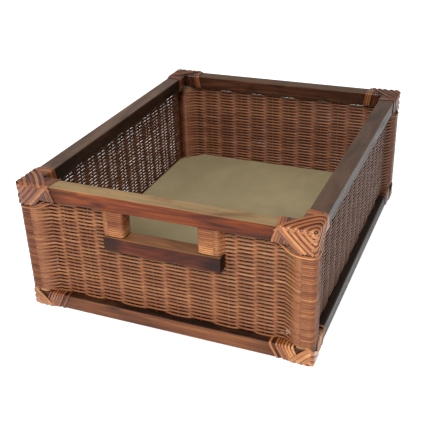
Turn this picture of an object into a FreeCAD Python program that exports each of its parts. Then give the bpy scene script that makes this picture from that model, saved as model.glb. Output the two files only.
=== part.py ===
"""Wicker pet bed basket: a nailed wooden frame, woven walls on upright stakes, a floor board
and cane strips bound round the corners.

Millimetres. +Z is up, -Y is the front with the hand hole. The origin is on the ground under the
middle of the basket.
"""
import FreeCAD, Part
import math
import os

import Sketcher
from FreeCAD import Placement, Rotation, Vector

DIMENSIONS = [
    ("basket_width", 480, "across the outer faces of the side rails"),
    ("basket_depth", 596, "across the outer faces of the front and back rails"),
    ("frame_height", 225, "underside of the bottom rails to the top of the top rails"),
    ("rail_wide", 28.6, "rail section, level"),
    ("rail_high", 25.4, "rail section, upright"),
    ("rail_edge", 3, "radius of the eased rail edges"),
    ("binding_thick", 3.5, "layers of cane strip round a corner"),
    ("binding_reach", 57, "binding along a rail, from its corner"),
    ("binding_drop", 13, "top binding along the post, past the rail"),
    ("foot_drop", 8, "bottom binding along the post, past the rail"),
    ("binding_edge", 3, "radius of the binding's outer edges"),
    ("post_wide", 26, "side of the square corner posts"),
    ("post_edge", 6, "radius of the post's edges"),
    ("weaver_thick", 3.8, "thickness of the weaver wound round posts and uprights"),
    ("sheet_thick", 2.4, "thickness of a woven wall's sheet"),
    ("stake_diameter", 4, "diameter of the upright stakes"),
    ("socket_depth", 10, "depth of the holes that hold the stakes"),
    ("slip", 0.1, "radial room round stakes and nails"),
    ("rail_gap", 4, "between a woven wall and the rail above or below it"),
    ("post_gap", 0.9, "between a woven wall and the wrap of the post"),
    ("corner_stake", 46, "from an outer face to the last stake of a wall"),
    ("handle_pitch", 39, "stake spacing under the handle rail"),
    ("outer_pitch", 30.8, "stake spacing between the hand hole and the posts"),
    ("handle_length", 193, "length of the handle rail"),
    ("handle_rise", 130, "underside of the bottom rail to that of the handle rail"),
    ("handle_shift", 2.5, "handle rail's middle, to the right of the basket's"),
    ("handle_stake", 6, "from the handle rail's end to the stake beside it"),
    ("upright_wide", 36, "across a wound upright beside the hand hole"),
    ("board_thick", 12, "thickness of the floor board"),
    ("board_inset", 21.8, "floor board's edge, inside the rails' outer faces"),
    ("board_corner", 40, "corner cut off the floor board"),
    ("nail_diameter", 2.5, "diameter of the nails"),
    ("nail_length", 45, "length of the nails"),
    ("nail_offset", 6, "level nails, outward of the post's middle"),
    ("nail_inset", 9, "upright nails, from the handle rail's end"),
]

# Whole numbers of stakes, so they are counts and not dimensions.
HANDLE_STAKES = 4
OUTER_STAKES = 3
BACK_STAKES = 12
SIDE_STAKES = 15

# Each wall is drawn with its outer face towards -Y and then turned about Z.
WALL_TURNS = {"front": 0, "right": 90, "back": 180, "left": 270}
LONG_WALLS = ("front", "back")
CORNER_TURNS = {"front_left": 0, "front_right": 90, "back_right": 180, "back_left": 270}

doc = FreeCAD.newDocument("WickerPetBedBasket")
sheet = doc.addObject("Spreadsheet::Sheet", "Dims")
for row, (alias, number, note) in enumerate(DIMENSIONS, start=1):
    sheet.set(f"A{row}", alias)
    sheet.set(f"B{row}", str(number))
    sheet.set(f"C{row}", note)
    sheet.setAlias(f"B{row}", alias)
doc.recompute()

HALF_WIDTH = "Dims.basket_width / 2"
HALF_DEPTH = "Dims.basket_depth / 2"
HALF_RAIL = "(Dims.rail_wide / 2)"
TOP_RAIL_UNDERSIDE = "Dims.binding_thick + Dims.frame_height - Dims.rail_high"
BOTTOM_RAIL_TOP = "Dims.binding_thick + Dims.rail_high"
HANDLE_UNDERSIDE = "Dims.binding_thick + Dims.handle_rise"
HANDLE_TOP = f"{HANDLE_UNDERSIDE} + Dims.rail_high"
STAKE_RADIUS = "Dims.stake_diameter / 2"
NAIL_RADIUS = "Dims.nail_diameter / 2"

parts = []


def value(expression):
    """The number that an expression in the spreadsheet's aliases gives."""
    return float(sheet.evalExpression(expression))


def bind(obj, **sizes):
    """Bind properties of an object to expressions; _ in a name stands for a dot."""
    for name, expression in sizes.items():
        obj.setExpression(name.replace("_", "."), expression)


def place(obj, turn=0.0, x="0", y="0", z="0", flipped=False):
    """Put a sub-part at x, y, z, turned about Z, and upside down first if flipped."""
    rotation = Rotation(Vector(0, 0, 1), turn)
    if flipped:
        rotation = rotation * Rotation(Vector(1, 0, 0), 180)
    obj.Placement = Placement(Vector(), rotation)
    bind(obj, Placement_Base_x=x, Placement_Base_y=y, Placement_Base_z=z)


def place_on_wall(obj, wall, z, x="0", flipped=False):
    """Put a sub-part, drawn for the front, on the middle line of a wall's rails."""
    along, outward = wall_lines(wall)
    turn = WALL_TURNS[wall]
    cos, sin = round(math.cos(math.radians(turn))), round(math.sin(math.radians(turn)))
    world_x = f"{cos} * ({x}) + {sin} * ({outward})"
    world_y = f"{sin} * ({x}) - {cos} * ({outward})"
    place(obj, turn, world_x, world_y, z, flipped)


def wall_lines(wall):
    """Half the length of a wall's rails, and how far out their middle line is."""
    if wall in LONG_WALLS:
        return HALF_WIDTH, f"({HALF_DEPTH} - {HALF_RAIL})"
    return f"({HALF_DEPTH} - Dims.rail_wide)", f"({HALF_WIDTH} - {HALF_RAIL})"


def keep(obj, node):
    """List a finished sub-part under its node name."""
    obj.Label = node
    parts.append(obj)
    return obj


def new_body(node):
    return keep(doc.addObject("PartDesign::Body", node), node)


def new_sketch(body, plane="XY_Plane", offset="0"):
    """A sketch on one of the body's own origin planes, moved along the plane's normal."""
    sketch = body.newObject("Sketcher::SketchObject", f"{body.Name}_sketch")
    support = next(item for item in body.Origin.OriginFeatures if item.Role == plane)
    sketch.AttachmentSupport = [(support, "")]
    sketch.MapMode = "FlatFace"
    sketch.setExpression("AttachmentOffset.Base.z", offset)
    return sketch


def draw_rectangle(sketch, left, right, low, high):
    """A rectangle whose four sides are dimensioned by expressions from the sketch's origin."""
    x0, x1, y0, y1 = (value(side) for side in (left, right, low, high))
    corners = [Vector(x0, y0), Vector(x1, y0), Vector(x1, y1), Vector(x0, y1)]
    first = sketch.GeometryCount
    for start, end in zip(corners, corners[1:] + corners[:1]):
        sketch.addGeometry(Part.LineSegment(start, end))
    for side in range(4):
        ends = (first + side, 2, first + (side + 1) % 4, 1)
        sketch.addConstraint(Sketcher.Constraint("Coincident", *ends))
        direction = "Horizontal" if side % 2 == 0 else "Vertical"
        sketch.addConstraint(Sketcher.Constraint(direction, first + side))
    sizes = [("DistanceX", 0, left, x0), ("DistanceY", 0, low, y0),
             ("DistanceX", 2, right, x1), ("DistanceY", 2, high, y1)]
    for kind, side, expression, number in sizes:
        constraint = Sketcher.Constraint(kind, -1, 1, first + side, 1, number)
        index = sketch.addConstraint(constraint)
        sketch.setExpression(f"Constraints[{index}]", expression)


def draw_circles(sketch, centres, radius):
    """Circles of one radius; each centre is a pair of expressions."""
    for x, y in centres:
        centre = Vector(value(x), value(y))
        circle = sketch.addGeometry(Part.Circle(centre, Vector(0, 0, 1), value(radius)))
        sizes = [("DistanceX", (-1, 1, circle, 3, centre.x), x),
                 ("DistanceY", (-1, 1, circle, 3, centre.y), y),
                 ("Radius", (circle, value(radius)), radius)]
        for kind, arguments, expression in sizes:
            index = sketch.addConstraint(Sketcher.Constraint(kind, *arguments))
            sketch.setExpression(f"Constraints[{index}]", expression)


def pad(body, sketch, length, symmetric=False, downward=False):
    feature = body.newObject("PartDesign::Pad", f"{body.Name}_pad")
    feature.Profile = sketch
    feature.SideType = "Symmetric" if symmetric else "One side"
    feature.Reversed = downward
    feature.setExpression("Length", length)
    doc.recompute()
    return feature


def pocket(body, sketch, depth=None, along_normal=False):
    """Cut a sketch out of the body, to a depth or right through, and see that it cut."""
    before = body.Shape.Volume
    feature = body.newObject("PartDesign::Pocket", f"{body.Name}_pocket")
    feature.Profile = sketch
    feature.Reversed = along_normal
    if depth is None:
        feature.Type = "ThroughAll"
    else:
        feature.setExpression("Length", depth)
    doc.recompute()
    if not body.Shape.Volume < before:
        raise RuntimeError(f"{feature.Name} cuts nothing")
    return feature


def mirror(body, feature, plane):
    """Repeat a cut on the other side of one of the body's origin planes."""
    copy = body.newObject("PartDesign::Mirrored", f"{body.Name}_mirrored")
    copy.Originals = [feature]
    support = next(item for item in body.Origin.OriginFeatures if item.Role == plane)
    copy.MirrorPlane = (support, [""])
    body.Tip = copy
    doc.recompute()
    return copy


def round_edges(body, radius, wanted):
    """Fillet the straight edges of the body's last feature that wanted(middle, direction) picks."""
    base = body.Tip
    names = []
    for number, edge in enumerate(base.Shape.Edges, start=1):
        if edge.Curve.TypeId != "Part::GeomLine":
            continue
        middle = edge.CenterOfMass
        direction = edge.tangentAt(edge.FirstParameter)
        if wanted(middle, direction):
            names.append(f"Edge{number}")
    fillet = body.newObject("PartDesign::Fillet", f"{body.Name}_fillet")
    fillet.Base = (base, names)
    fillet.setExpression("Radius", radius)
    doc.recompute()
    return fillet


def runs_along_x(middle, direction):
    return abs(direction.x) > 0.99


def runs_along_z(middle, direction):
    return abs(direction.z) > 0.99


# Stakes. Every wall's stakes stand on the middle line of its rails.

LAST_FRONT = f"({HALF_WIDTH} - Dims.corner_stake)"
LAST_SIDE = f"({HALF_DEPTH} - Dims.corner_stake)"
HANDLE_HALF = "Dims.handle_length / 2"


def front_stakes():
    """Positions along the front: (expression, whether it stops under the handle rail)."""
    stakes = []
    for side in (-1, 1):
        for step in range(1, HANDLE_STAKES, 2):
            stakes.append((f"{side * step} * Dims.handle_pitch / 2", True))
        beside = f"Dims.handle_shift + {side} * ({HANDLE_HALF} + Dims.handle_stake)"
        stakes.append((beside, False))
        for step in range(OUTER_STAKES):
            stakes.append((f"{side} * ({LAST_FRONT} - {step} * Dims.outer_pitch)", False))
    return sorted(stakes, key=lambda stake: value(stake[0]))


def even_stakes(last, count):
    """Positions from one end of a wall to the other, evenly spaced."""
    gaps = count - 1
    return [(f"{last} * {step} / {gaps}", False) for step in range(-gaps, gaps + 1, 2)]


WALL_STAKES = {
    "front": front_stakes(),
    "right": even_stakes(LAST_SIDE, SIDE_STAKES),
    "back": even_stakes(LAST_FRONT, BACK_STAKES),
    "left": even_stakes(LAST_SIDE, SIDE_STAKES),
}

HANDLE_NAILS = [f"Dims.handle_shift + {side} * ({HANDLE_HALF} - Dims.nail_inset)"
                for side in (-1, 1)]


def make_stakes(wall):
    """One wall's stakes, a group of round sticks seated in the rails above and below."""
    low = f"{BOTTOM_RAIL_TOP} - Dims.socket_depth"
    sticks = []
    for x, short in WALL_STAKES[wall]:
        above = HANDLE_UNDERSIDE if short else TOP_RAIL_UNDERSIDE
        stick = doc.addObject("Part::Cylinder", f"stake_{wall}_{len(sticks) + 1}")
        bind(stick, Radius=STAKE_RADIUS, Placement_Base_x=x)
        stick.setExpression("Height", f"{above} + Dims.socket_depth - ({low})")
        sticks.append(stick)
    group = doc.addObject("Part::Compound", f"stakes_{wall}")
    group.Links = sticks
    place_on_wall(group, wall, low)
    keep(group, f"stakes_{wall}")


# Frame. A rail is drawn with its underside at Z = 0 and the stake sockets opening downwards.

def make_rail(node, half_length, sockets, long_rail, flipped=False):
    """A rail with eased edges, stake sockets and the pilot holes of its nails."""
    body = new_body(node)
    section = new_sketch(body, "YZ_Plane")
    draw_rectangle(section, f"-{HALF_RAIL}", HALF_RAIL, "0", "Dims.rail_high")
    pad(body, section, f"2 * {half_length}", symmetric=True)
    round_edges(body, "Dims.rail_edge", runs_along_x)

    holes = new_sketch(body)
    draw_circles(holes, [(x, "0") for x in sockets], f"{STAKE_RADIUS} + Dims.slip")
    pocket(body, holes, "Dims.socket_depth", along_normal=True)

    if long_rail:
        drill_long_rail(body, half_length)
    else:
        drill_short_rail(body, half_length, "1" if flipped else "-1")
    return body


def drill_long_rail(body, half_length):
    """Through holes over each post: one down into the post, one into the side rail's end."""
    over_post = f"({half_length} - {HALF_RAIL})"
    upright = new_sketch(body)
    centres = [(f"{side} * {over_post}", "0") for side in (-1, 1)]
    draw_circles(upright, centres, f"{NAIL_RADIUS} + Dims.slip")
    pocket(body, upright, along_normal=True)

    level = new_sketch(body, "XZ_Plane", f"-{HALF_RAIL}")
    centres = [(f"{side} * ({over_post} + Dims.nail_offset)", "Dims.rail_high / 2")
               for side in (-1, 1)]
    draw_circles(level, centres, f"{NAIL_RADIUS} + Dims.slip")
    pocket(body, level, along_normal=True)


def drill_short_rail(body, half_length, outward):
    """Blind holes in both ends, for the nails that come through the long rails."""
    end = new_sketch(body, "YZ_Plane", half_length)
    centre = (f"{outward} * Dims.nail_offset", "Dims.rail_high / 2")
    draw_circles(end, [centre], f"{NAIL_RADIUS} + Dims.slip")
    depth = "Dims.nail_length - Dims.rail_wide + Dims.slip"
    hole = pocket(body, end, depth)
    mirror(body, hole, "YZ_Plane")


def drill_upright_nails(body):
    """Through holes in the top front rail or the handle rail, into the uprights' ends."""
    shift = "0" if body.Label.startswith("top") else "Dims.handle_shift"
    holes = new_sketch(body)
    centres = [(f"{x} - {shift}", "0") for x in HANDLE_NAILS]
    draw_circles(holes, centres, f"{NAIL_RADIUS} + Dims.slip")
    pocket(body, holes, along_normal=True)


def make_wall_rails(wall):
    half_length, outward = wall_lines(wall)
    long_rail = wall in LONG_WALLS
    all_stakes = [x for x, short in WALL_STAKES[wall]]
    full_stakes = [x for x, short in WALL_STAKES[wall] if not short]

    top = make_rail(f"top_rail_{wall}", half_length, full_stakes, long_rail)
    if wall == "front":
        drill_upright_nails(top)
    place_on_wall(top, wall, TOP_RAIL_UNDERSIDE)

    bottom = make_rail(f"bottom_rail_{wall}", half_length, all_stakes, long_rail, flipped=True)
    place_on_wall(bottom, wall, BOTTOM_RAIL_TOP, flipped=True)


def make_handle_rail():
    """The short rail under the hand hole; the stakes below it end in its underside."""
    body = new_body("handle_rail")
    section = new_sketch(body, "YZ_Plane")
    draw_rectangle(section, f"-{HALF_RAIL}", HALF_RAIL, "0", "Dims.rail_high")
    pad(body, section, "Dims.handle_length", symmetric=True)
    round_edges(body, "Dims.rail_edge", runs_along_x)
    holes = new_sketch(body)
    centres = [(f"{x} - Dims.handle_shift", "0") for x, short in WALL_STAKES["front"] if short]
    draw_circles(holes, centres, f"{STAKE_RADIUS} + Dims.slip")
    pocket(body, holes, "Dims.socket_depth", along_normal=True)
    drill_upright_nails(body)
    place_on_wall(body, "front", HANDLE_UNDERSIDE, "Dims.handle_shift")


def make_square_stick(node, half_x, half_y, length, edge, nail_x, nail_depth):
    """An upright stick with rounded edges and a blind nail hole in each end."""
    body = new_body(node)
    section = new_sketch(body)
    draw_rectangle(section, f"-({half_x})", half_x, f"-({half_y})", half_y)
    pad(body, section, length, symmetric=True)
    round_edges(body, edge, runs_along_z)
    end = new_sketch(body, "XY_Plane", f"({length}) / 2")
    draw_circles(end, [(nail_x, "0")], f"{NAIL_RADIUS} + Dims.slip")
    hole = pocket(body, end, nail_depth)
    mirror(body, hole, "XY_Plane")
    return body


def make_sleeve(node, half_x, half_y, edge, length):
    """Weaver wound round a stick: a tube of rounded rectangular section."""
    body = new_body(node)
    section = new_sketch(body)
    in_x, in_y = f"({half_x} - Dims.weaver_thick)", f"({half_y} - Dims.weaver_thick)"
    draw_rectangle(section, f"-{half_x}", half_x, f"-{half_y}", half_y)
    draw_rectangle(section, f"-{in_x}", in_x, f"-{in_y}", in_y)
    pad(body, section, length, symmetric=True)
    limit = value(in_x) + value("Dims.weaver_thick") / 2

    def is_inner(middle, direction):
        return runs_along_z(middle, direction) and abs(middle.x) < limit

    def is_outer(middle, direction):
        return runs_along_z(middle, direction) and abs(middle.x) > limit

    round_edges(body, edge, is_inner)
    round_edges(body, f"{edge} + Dims.weaver_thick", is_outer)
    return body


POST_LENGTH = f"({TOP_RAIL_UNDERSIDE} - ({BOTTOM_RAIL_TOP}))"
POST_MIDDLE = f"({TOP_RAIL_UNDERSIDE} + {BOTTOM_RAIL_TOP}) / 2"
POST_X = f"({HALF_WIDTH} - {HALF_RAIL})"
POST_Y = f"({HALF_DEPTH} - {HALF_RAIL})"
WRAP_LENGTH = f"({POST_LENGTH} - Dims.binding_drop - Dims.foot_drop)"
WRAP_MIDDLE = f"{POST_MIDDLE} + (Dims.foot_drop - Dims.binding_drop) / 2"
UPRIGHT_LENGTH = f"({TOP_RAIL_UNDERSIDE} - ({HANDLE_TOP}))"
UPRIGHT_MIDDLE = f"({TOP_RAIL_UNDERSIDE} + {HANDLE_TOP}) / 2"
WRAP_HALF = "(Dims.post_wide / 2 + Dims.weaver_thick + Dims.slip)"


def corner_signs(corner):
    """-1 or 1 along X and Y for a corner's name."""
    return (-1 if corner.endswith("left") else 1), (-1 if corner.startswith("front") else 1)


def make_corner(corner):
    """A post between the rails, and the weaver wound round it between the bindings."""
    side_x, side_y = corner_signs(corner)
    spot = {"x": f"{side_x} * {POST_X}", "y": f"{side_y} * {POST_Y}"}
    half = "Dims.post_wide / 2"
    nail_depth = "Dims.nail_length - Dims.rail_high + Dims.slip"
    post = make_square_stick(f"corner_post_{corner}", half, half, POST_LENGTH,
                             "Dims.post_edge", "0", nail_depth)
    place(post, z=POST_MIDDLE, **spot)

    wrap = make_sleeve(f"corner_wrap_{corner}", WRAP_HALF, WRAP_HALF, "Dims.post_edge", WRAP_LENGTH)
    place(wrap, z=WRAP_MIDDLE, **spot)


def make_upright(side_name, side):
    """A short upright beside the hand hole, and the weaver wound round it."""
    middle = f"Dims.handle_shift + {side} * ({HANDLE_HALF} - Dims.upright_wide / 2)"
    thick = "(Dims.weaver_thick + Dims.slip)"
    half_x = f"(Dims.upright_wide / 2 - {thick})"
    half_y = f"({HALF_RAIL} - {thick})"
    nail_x = f"{side} * (Dims.upright_wide / 2 - Dims.nail_inset)"
    nail_depth = "Dims.nail_length - Dims.rail_high + Dims.slip"
    upright = make_square_stick(f"handle_upright_{side_name}", half_x, half_y, UPRIGHT_LENGTH,
                                "Dims.rail_edge", nail_x, nail_depth)
    place_on_wall(upright, "front", UPRIGHT_MIDDLE, middle)

    wrap = make_sleeve(f"handle_wrap_{side_name}", "Dims.upright_wide / 2", HALF_RAIL,
                       "Dims.rail_edge", UPRIGHT_LENGTH)
    place_on_wall(wrap, "front", UPRIGHT_MIDDLE, middle)


# Woven walls. A row passes outside one stake and inside the next, and the row above it does the
# opposite. A wall is one corrugated sheet that follows every second row.

def sheet_outline(stakes, first_side, half_length, lift):
    """One face of the sheet: arcs round the stakes joined by straight lines.

    lift is the face's distance from the sheet's middle, towards +Y.
    """
    middle_radius = value(f"{STAKE_RADIUS} + Dims.slip + Dims.sheet_thick / 2")
    sides = [first_side * (-1) ** number for number in range(len(stakes))]
    gaps = [right - left for left, right in zip(stakes, stakes[1:])]
    slopes = [0] + [math.asin(2 * middle_radius / gap) for gap in gaps] + [0]

    edges = []
    here = Vector(-half_length, sides[0] * middle_radius + lift)
    for x, side, slope_in, slope_out in zip(stakes, sides, slopes, slopes[1:]):
        radius = middle_radius + side * lift
        turns = (-slope_in, (slope_out - slope_in) / 2, slope_out)
        start, top, end = (Vector(x + radius * math.sin(turn), side * radius * math.cos(turn))
                           for turn in turns)
        edges.append(Part.LineSegment(here, start))
        edges.append(Part.Arc(start, top, end))
        here = end
    last = Vector(half_length, sides[-1] * middle_radius + lift)
    edges.append(Part.LineSegment(here, last))
    return edges


def make_panel(wall, first_side):
    """A woven wall between its rails; first_side is +1 where the rows start on the inside."""
    body = new_body(f"woven_panel_{wall}")
    outward = HALF_WIDTH if wall in LONG_WALLS else HALF_DEPTH
    half_length = value(f"{outward} - {HALF_RAIL} - {WRAP_HALF} - Dims.post_gap")
    stakes = [value(x) for x, short in WALL_STAKES[wall]]
    lift = value("Dims.sheet_thick / 2")

    outline = new_sketch(body)
    inner = sheet_outline(stakes, first_side, half_length, lift)
    outer = sheet_outline(stakes, first_side, half_length, -lift)
    outline.addGeometry(inner + outer)
    for pick in (0, -1):
        ends = [face[pick].StartPoint if pick == 0 else face[pick].EndPoint
                for face in (inner, outer)]
        outline.addGeometry(Part.LineSegment(*ends))
    height = f"{TOP_RAIL_UNDERSIDE} - ({BOTTOM_RAIL_TOP}) - 2 * Dims.rail_gap"
    pad(body, outline, height)
    if wall == "front":
        cut_handle_notch(body, height)
    place_on_wall(body, wall, f"{BOTTOM_RAIL_TOP} + Dims.rail_gap")


def cut_handle_notch(body, height):
    """Leave room in the front wall for the handle rail, the uprights and the hand hole."""
    side = new_sketch(body, "XZ_Plane")
    half = f"({HANDLE_HALF} + Dims.slip)"
    low = f"{HANDLE_UNDERSIDE} - Dims.slip - ({BOTTOM_RAIL_TOP} + Dims.rail_gap)"
    draw_rectangle(side, f"Dims.handle_shift - {half}", f"Dims.handle_shift + {half}", low, height)
    notch = pocket(body, side)
    notch.SideType = "Symmetric"
    doc.recompute()


def make_floor_board():
    """The board that the pet lies on: its cut corners rest on the bindings of the bottom rails."""
    body = new_body("floor_board")
    outline = new_sketch(body)
    half_x = f"({HALF_WIDTH} - Dims.board_inset)"
    half_y = f"({HALF_DEPTH} - Dims.board_inset)"
    draw_rectangle(outline, f"-{half_x}", half_x, f"-{half_y}", half_y)
    pad(body, outline, "Dims.board_thick")
    base = body.Tip
    upright = [f"Edge{number}" for number, edge in enumerate(base.Shape.Edges, start=1)
               if runs_along_z(edge.CenterOfMass, edge.tangentAt(edge.FirstParameter))]
    chamfer = body.newObject("PartDesign::Chamfer", "floor_board_corners")
    chamfer.Base = (base, upright)
    chamfer.setExpression("Size", "Dims.board_corner")
    doc.recompute()
    place(body, z=f"{BOTTOM_RAIL_TOP} + Dims.binding_thick")


# Corner bindings. Drawn for the front left top corner, with the rails' outer corner at the origin
# and the rails running to +X and +Y; a bottom binding is the same piece upside down.

def make_binding(node, drop):
    """Layers of cane strip round the ends of two rails and the post, as one hollow shell."""
    body = new_body(node)
    thick = "Dims.binding_thick"
    across = f"Dims.rail_wide + {thick}"
    reach = "Dims.binding_reach"

    for right, back in ((reach, across), (across, reach)):
        outline = new_sketch(body, "XY_Plane", thick)
        draw_rectangle(outline, f"-{thick}", right, f"-{thick}", back)
        pad(body, outline, f"Dims.rail_high + 2 * {thick}", downward=True)
    collar = new_sketch(body, "XY_Plane", thick)
    draw_rectangle(collar, f"-{thick}", across, f"-{thick}", across)
    pad(body, collar, f"Dims.rail_high + {thick} + {drop}", downward=True)
    round_edges(body, "Dims.binding_edge", is_outer_binding_edge)

    for plane, along_normal in (("YZ_Plane", True), ("XZ_Plane", False)):
        section = new_sketch(body, plane)
        draw_rectangle(section, "0", "Dims.rail_wide", "-Dims.rail_high", "0")
        pocket(body, section, along_normal=along_normal)
    bore = new_sketch(body)
    post = (f"{HALF_RAIL} - Dims.post_wide / 2", f"{HALF_RAIL} + Dims.post_wide / 2")
    draw_rectangle(bore, *post, *post)
    pocket(body, bore)
    stakes = new_sketch(body)
    centres = [("Dims.corner_stake", HALF_RAIL), (HALF_RAIL, "Dims.corner_stake")]
    draw_circles(stakes, centres, f"{STAKE_RADIUS} + Dims.slip")
    pocket(body, stakes)
    return body


def is_outer_binding_edge(middle, direction):
    """The long edges on the outside of the corner, and the upright edge at the corner itself."""
    thick = value("Dims.binding_thick")
    outside_x = abs(middle.x + thick) < 0.01
    outside_y = abs(middle.y + thick) < 0.01
    on_top = abs(middle.z - thick) < 0.01
    if runs_along_z(middle, direction):
        return outside_x and outside_y
    return on_top and (outside_x or outside_y)


def make_bindings(corner):
    side_x, side_y = corner_signs(corner)
    turn = CORNER_TURNS[corner]
    x, y = f"{side_x} * {HALF_WIDTH}", f"{side_y} * {HALF_DEPTH}"
    top = make_binding(f"top_binding_{corner}", "Dims.binding_drop")
    place(top, turn, x, y, "Dims.binding_thick + Dims.frame_height")
    bottom = make_binding(f"bottom_binding_{corner}", "Dims.foot_drop")
    place(bottom, turn + 90, x, y, "Dims.binding_thick", flipped=True)


def make_nails():
    """All the frame's nails: in each rail joint one level and one upright, two per upright."""
    nails = []
    levels = ("Dims.binding_thick + Dims.rail_high / 2", f"{TOP_RAIL_UNDERSIDE} + Dims.rail_high / 2")
    tips = ("Dims.binding_thick", "Dims.binding_thick + Dims.frame_height - Dims.nail_length")
    for corner in CORNER_TURNS:
        side_x, side_y = corner_signs(corner)
        for level, tip in zip(levels, tips):
            x = f"{side_x} * ({POST_X} + Dims.nail_offset)"
            nails.append(make_nail(x, f"{side_y} * {HALF_DEPTH}", level, lying=side_y))
            nails.append(make_nail(f"{side_x} * {POST_X}", f"{side_y} * {POST_Y}", tip))
    for x in HANDLE_NAILS:
        for tip in (HANDLE_UNDERSIDE, tips[1]):
            nails.append(make_nail(x, f"-{POST_Y}", tip))
    group = doc.addObject("Part::Compound", "frame_nails")
    group.Links = nails
    keep(group, "frame_nails")


def make_nail(x, y, z, lying=0):
    """A headless nail standing on x, y, z, or lying from there into the basket."""
    nail = doc.addObject("Part::Cylinder", "nail")
    nail.Placement = Placement(Vector(), Rotation(Vector(1, 0, 0), 90 * lying))
    bind(nail, Radius=NAIL_RADIUS, Height="Dims.nail_length",
         Placement_Base_x=x, Placement_Base_y=y, Placement_Base_z=z)
    return nail


for wall_name in WALL_TURNS:
    make_wall_rails(wall_name)
    make_stakes(wall_name)
make_handle_rail()
for side_name, side in (("left", -1), ("right", 1)):
    make_upright(side_name, side)
make_floor_board()
for corner_name in CORNER_TURNS:
    make_corner(corner_name)
    make_bindings(corner_name)
for wall_name, first_side in {"front": -1, "right": -1, "back": 1, "left": -1}.items():
    make_panel(wall_name, first_side)
make_nails()
doc.recompute()

for item in doc.Objects:
    if "Invalid" in item.State or "Error" in item.State:
        raise RuntimeError(f"{item.Label} failed: {item.State}")
for item in parts:
    if item.Shape.isNull() or not item.Shape.isValid():
        raise RuntimeError(f"{item.Label} has no valid shape")

os.makedirs("parts", exist_ok=True)
for item in parts:
    item.Shape.exportStep(f"parts/{item.Label}.step")
    size = item.Shape.BoundBox
    print(f"{item.Label}: {len(item.Shape.Solids)} solid(s), {size.XLength:.1f} x "
          f"{size.YLength:.1f} x {size.ZLength:.1f}, {item.Shape.Volume / 1000:.1f} cm3")
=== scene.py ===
import math

import bpy
import numpy as np
from mathutils import Matrix, Vector


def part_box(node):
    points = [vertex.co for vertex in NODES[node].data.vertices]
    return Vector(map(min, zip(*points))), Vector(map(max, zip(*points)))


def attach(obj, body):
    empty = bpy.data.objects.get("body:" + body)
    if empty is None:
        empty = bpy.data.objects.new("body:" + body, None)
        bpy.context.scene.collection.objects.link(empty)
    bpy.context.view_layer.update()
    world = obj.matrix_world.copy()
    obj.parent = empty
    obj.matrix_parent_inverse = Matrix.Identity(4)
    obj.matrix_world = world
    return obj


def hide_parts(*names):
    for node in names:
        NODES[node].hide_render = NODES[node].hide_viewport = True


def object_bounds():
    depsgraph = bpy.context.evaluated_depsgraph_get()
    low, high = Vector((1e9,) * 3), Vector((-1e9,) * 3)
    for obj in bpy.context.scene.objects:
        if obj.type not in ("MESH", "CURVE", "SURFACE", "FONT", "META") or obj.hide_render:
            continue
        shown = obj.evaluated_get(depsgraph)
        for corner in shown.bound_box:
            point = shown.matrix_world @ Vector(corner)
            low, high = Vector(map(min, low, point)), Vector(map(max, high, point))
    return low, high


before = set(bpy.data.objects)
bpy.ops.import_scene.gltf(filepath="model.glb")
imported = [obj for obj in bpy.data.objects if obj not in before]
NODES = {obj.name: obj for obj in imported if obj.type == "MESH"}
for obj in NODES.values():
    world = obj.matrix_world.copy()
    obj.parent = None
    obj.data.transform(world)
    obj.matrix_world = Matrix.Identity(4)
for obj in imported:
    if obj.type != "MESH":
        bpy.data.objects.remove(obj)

CAD_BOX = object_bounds()
MM = 0.001

WALL_TURNS = {"front": 0, "right": 90, "back": 180, "left": 270}
CORNERS = {"front_left": (-1, -1), "front_right": (1, -1), "back_right": (1, 1), "back_left": (-1, 1)}


# ---------------------------------------------------------------- camera, light, floor

def make_camera():
    data = bpy.data.cameras.new("camera")
    data.lens = 62.38
    data.sensor_width = 36
    data.clip_start, data.clip_end = 0.05, 20
    camera = bpy.data.objects.new("camera", data)
    bpy.context.scene.collection.objects.link(camera)
    azimuth, elevation, roll = math.radians(23.532), math.radians(28.304), math.radians(-2.030)
    distance = 1.3722
    target = np.array([-0.0234, -0.0290, 0.0715])
    back = np.array([math.sin(azimuth) * math.cos(elevation),
                     -math.cos(azimuth) * math.cos(elevation), math.sin(elevation)])
    camera.location = target + distance * back
    turn = (Matrix.Rotation(azimuth, 3, "Z") @ Matrix.Rotation(math.pi / 2 - elevation, 3, "X")
            @ Matrix.Rotation(roll, 3, "Z"))
    camera.rotation_euler = turn.to_euler()
    bpy.context.scene.camera = camera


def make_area(name, place, aim, size, watts, colour):
    data = bpy.data.lights.new(name, "AREA")
    data.shape = "DISK"
    data.size = size
    data.energy = watts
    data.color = colour
    light = bpy.data.objects.new(name, data)
    bpy.context.scene.collection.objects.link(light)
    light.location = place
    light.rotation_euler = (Vector(aim) - Vector(place)).to_track_quat("-Z", "Y").to_euler()


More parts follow.
